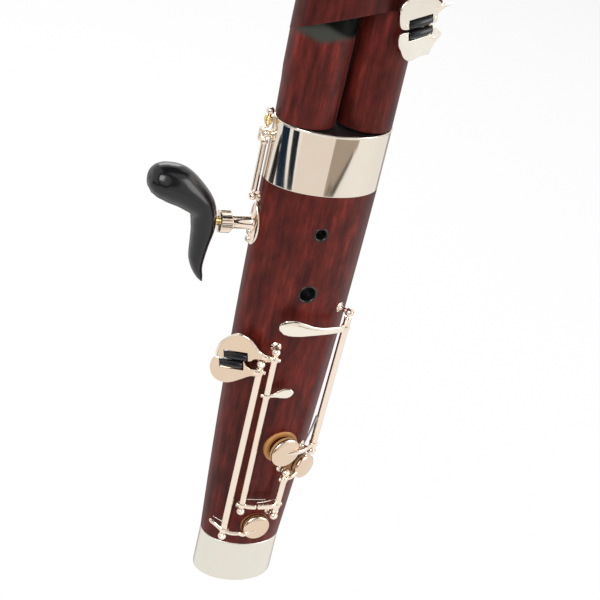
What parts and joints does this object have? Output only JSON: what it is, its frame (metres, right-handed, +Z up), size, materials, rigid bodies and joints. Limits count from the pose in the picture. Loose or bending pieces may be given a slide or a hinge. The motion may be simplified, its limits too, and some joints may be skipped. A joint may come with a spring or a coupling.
{
  "type": "quint bassoon",
  "caption": "Small folded-bore bassoon with boot, wing, long and bell joints, curved crook with double reed, hinged lever keys with rollers and an adjustable hand rest.",
  "frame": {"origin": "centre of the boot's flat end face", "axes": "+Z up the instrument towards the bell, -Y the finger-hole side, -X the wing joint and hand rest, +X the long joint"},
  "size_m": [0.1389, 0.1744, 0.893],
  "materials": {
    "maple": "dark red-brown stain under satin gloss lacquer",
    "nickel_silver": "mirror polished",
    "key_silver": "polished warm silver plate",
    "post_silver": "polished warm silver plate",
    "brass": "polished",
    "cork": "natural cork",
    "thread": "waxed thread winding",
    "pad_leather": "tan leather",
    "black_resin": "polished black",
    "cane": "scraped cane",
    "ivory_resin": "polished off-white"
  },
  "bodies": {
    "bassoon": {"boot_body": "maple", "boot_top_band": "nickel_silver", "boot_bottom_cap": "nickel_silver", "boot_bend": "brass", "boot_bend_gasket": "cork", "wing_tenon_lapping": "thread", "long_tenon_lapping": "thread", "wing_joint": "maple", "wing_top_ring": "nickel_silver", "long_joint": "maple", "bell_joint": "maple", "bell_band": "nickel_silver", "bell_ring": "ivory_resin", "hand_rest_plate": "key_silver", "a_flat_key_pivot": "post_silver", "f_key_pivot": "post_silver", "f_cup_key_pivot": "post_silver", "g_key_pivot": "post_silver", "low_e_key_pivot": "post_silver", "f_sharp_key_pivot": "post_silver", "b_flat_key_pivot": "post_silver", "whisper_key_pivot": "post_silver", "c_speaker_key_pivot": "post_silver", "low_d_key_pivot": "post_silver", "low_c_key_pivot": "post_silver", "bell_key_pivot": "post_silver", "lock_key_pivot": "post_silver", "low_c_sharp_key_pivot": "post_silver", "low_e_flat_key_pivot": "post_silver"},
    "a_flat_key": {"a_flat_key": "key_silver", "a_flat_key_pad": "pad_leather"},
    "f_key": {"f_key": "key_silver"},
    "f_cup_key": {"f_cup_key": "key_silver", "f_cup_key_pad": "pad_leather"},
    "g_key": {"g_key": "key_silver", "g_key_pad": "pad_leather"},
    "low_e_key": {"low_e_key": "key_silver", "low_e_key_pad": "pad_leather"},
    "f_sharp_key": {"f_sharp_key": "key_silver"},
    "b_flat_key": {"b_flat_key": "key_silver"},
    "whisper_key": {"whisper_key": "key_silver"},
    "c_speaker_key": {"c_speaker_key": "key_silver"},
    "low_d_key": {"low_d_key": "key_silver"},
    "low_c_key": {"low_c_key": "key_silver"},
    "bell_key": {"bell_key": "key_silver"},
    "lock_key": {"lock_key": "key_silver", "lock_barrel": "brass"},
    "low_c_sharp_key": {"low_c_sharp_key": "key_silver"},
    "low_e_flat_key": {"low_e_flat_key": "key_silver"},
    "a_flat_roller": {"a_flat_roller": "black_resin"},
    "f_roller": {"f_roller": "black_resin"},
    "low_c_sharp_roller": {"low_c_sharp_roller": "black_resin"},
    "low_e_flat_roller": {"low_e_flat_roller": "black_resin"},
    "crook": {"crook": "nickel_silver", "crook_cork": "cork", "reed": "cane"},
    "hand_rest_nut": {"hand_rest_nut": "key_silver"},
    "hand_rest_stem": {"hand_rest_stem": "brass"},
    "hand_rest_crutch": {"hand_rest_crutch": "black_resin"}
  },
  "joints": [
    {"name": "a_flat_key_turn", "type": "hinge", "parent": "bassoon", "child": "a_flat_key", "pos_m": [-0.01778, -0.01844, 0.0369], "axis": [-0.012, -0.0309, 0.9995], "range_deg": [-8, 0], "stiffness_Nm_per_rad": 0.02, "springref_deg": 17.19},
    {"name": "f_key_turn", "type": "hinge", "parent": "bassoon", "child": "f_key", "pos_m": [-0.01145, -0.02197, 0.0574], "axis": [-0.0164, -0.0234, 0.9996], "range_deg": [-9, 0], "stiffness_Nm_per_rad": 0.02, "springref_deg": 17.19},
    {"name": "f_cup_key_turn", "type": "hinge", "parent": "bassoon", "child": "f_cup_key", "pos_m": [0.00961, -0.02231, 0.0537], "axis": [0.0172, -0.0329, 0.9993], "range_deg": [0, 9], "stiffness_Nm_per_rad": 0.02, "springref_deg": -17.19},
    {"name": "g_key_turn", "type": "hinge", "parent": "bassoon", "child": "g_key", "pos_m": [0.02491, -0.01845, 0.0972], "axis": [0.0114, -0.0235, 0.9997], "range_deg": [-6, 0], "stiffness_Nm_per_rad": 0.02, "springref_deg": 17.19},
    {"name": "low_e_key_turn", "type": "hinge", "parent": "bassoon", "child": "low_e_key", "pos_m": [0.02172, 0.0192, 0.1029], "axis": [0.0237, 0.0139, 0.9996], "range_deg": [0, 6], "stiffness_Nm_per_rad": 0.02, "springref_deg": -17.19},
    {"name": "f_sharp_key_turn", "type": "hinge", "parent": "bassoon", "child": "f_sharp_key", "pos_m": [0.01799, 0.01862, 0.04245], "axis": [0.0327, 0.0278, 0.9991], "range_deg": [-7, 0], "stiffness_Nm_per_rad": 0.02, "springref_deg": 17.19},
    {"name": "b_flat_key_turn", "type": "hinge", "parent": "bassoon", "child": "b_flat_key", "pos_m": [0.02196, 0.02156, 0.20055], "axis": [0.01, 0.0004, 0.9999], "range_deg": [-7, 0], "stiffness_Nm_per_rad": 0.02, "springref_deg": 17.19},
    {"name": "whisper_key_turn", "type": "hinge", "parent": "bassoon", "child": "whisper_key", "pos_m": [-0.03625, 0.01187, 0.3972], "axis": [0, 0, 1], "range_deg": [-5, 0], "stiffness_Nm_per_rad": 0.02, "springref_deg": 17.19},
    {"name": "c_speaker_key_turn", "type": "hinge", "parent": "bassoon", "child": "c_speaker_key", "pos_m": [-0.02114, 0.02206, 0.35892], "axis": [0, 0, 1], "range_deg": [0, 7], "stiffness_Nm_per_rad": 0.02, "springref_deg": -17.19},
    {"name": "low_d_key_turn", "type": "hinge", "parent": "bassoon", "child": "low_d_key", "pos_m": [0.02598, 0.0183, 0.39904], "axis": [-0.0031, -0.0058, 1], "range_deg": [-6, 0], "stiffness_Nm_per_rad": 0.02, "springref_deg": 17.19},
    {"name": "low_c_key_turn", "type": "hinge", "parent": "bassoon", "child": "low_c_key", "pos_m": [0.02563, 0.01765, 0.51312], "axis": [-0.0031, -0.0058, 1], "range_deg": [-6, 0], "stiffness_Nm_per_rad": 0.02, "springref_deg": 17.19},
    {"name": "bell_key_turn", "type": "hinge", "parent": "bassoon", "child": "bell_key", "pos_m": [0.02545, 0.01731, 0.72264], "axis": [0.0181, 0.0341, 0.9993], "range_deg": [-7, 0], "stiffness_Nm_per_rad": 0.02, "springref_deg": 17.19},
    {"name": "lock_key_turn", "type": "hinge", "parent": "bassoon", "child": "lock_key", "pos_m": [-0.0355, 0.00136, 0.249], "axis": [-0.004, -0.0001, 1], "range_deg": [-8, 8]},
    {"name": "low_c_sharp_key_turn", "type": "hinge", "parent": "bassoon", "child": "low_c_sharp_key", "pos_m": [0.03303, -0.01175, 0.34432], "axis": [-0.0053, 0.0037, 1], "range_deg": [-6, 0], "stiffness_Nm_per_rad": 0.02, "springref_deg": 17.19},
    {"name": "low_e_flat_key_turn", "type": "hinge", "parent": "bassoon", "child": "low_e_flat_key", "pos_m": [0.03653, -0.00178, 0.36301], "axis": [-0.0065, 0.0006, 1], "range_deg": [-5, 0], "stiffness_Nm_per_rad": 0.02, "springref_deg": 17.19},
    {"name": "a_flat_roller_spin", "type": "hinge", "parent": "a_flat_key", "child": "a_flat_roller", "pos_m": [-0.03266, -0.01268, 0.15268], "axis": [0.7449, -0.625, 0.2334], "continuous": true},
    {"name": "f_roller_spin", "type": "hinge", "parent": "f_key", "child": "f_roller", "pos_m": [-0.03143, -0.01371, 0.15831], "axis": [0.7449, -0.625, 0.2334], "continuous": true},
    {"name": "low_c_sharp_roller_spin", "type": "hinge", "parent": "low_c_sharp_key", "child": "low_c_sharp_roller", "pos_m": [0.02712, -0.01779, 0.35462], "axis": [0.9372, 0.2511, 0.2419], "continuous": true},
    {"name": "low_e_flat_roller_spin", "type": "hinge", "parent": "low_e_flat_key", "child": "low_e_flat_roller", "pos_m": [0.02578, -0.01815, 0.36015], "axis": [0.9372, 0.2511, 0.2419], "continuous": true},
    {"name": "crook_turn", "type": "hinge", "parent": "bassoon", "child": "crook", "pos_m": [-0.01645, 0, 0.596], "axis": [0, 0, 1], "range_deg": [-25, 25]},
    {"name": "hand_rest_nut_turn", "type": "hinge", "parent": "bassoon", "child": "hand_rest_nut", "pos_m": [-0.04543, 0, 0.234], "axis": [-1, 0, 0], "continuous": true},
    {"name": "hand_rest_slide", "type": "slide", "parent": "bassoon", "child": "hand_rest_stem", "axis": [-1, 0, 0], "range_m": [0, 0.008]},
    {"name": "hand_rest_swivel", "type": "hinge", "parent": "hand_rest_stem", "child": "hand_rest_crutch", "pos_m": [-0.05253, 0, 0.234], "axis": [-1, 0, 0], "range_deg": [-40, 40]}
  ],
  "couplings": [
    {"joint": "f_cup_key_turn", "follows": "f_key_turn", "ratio": -1}
  ]
}
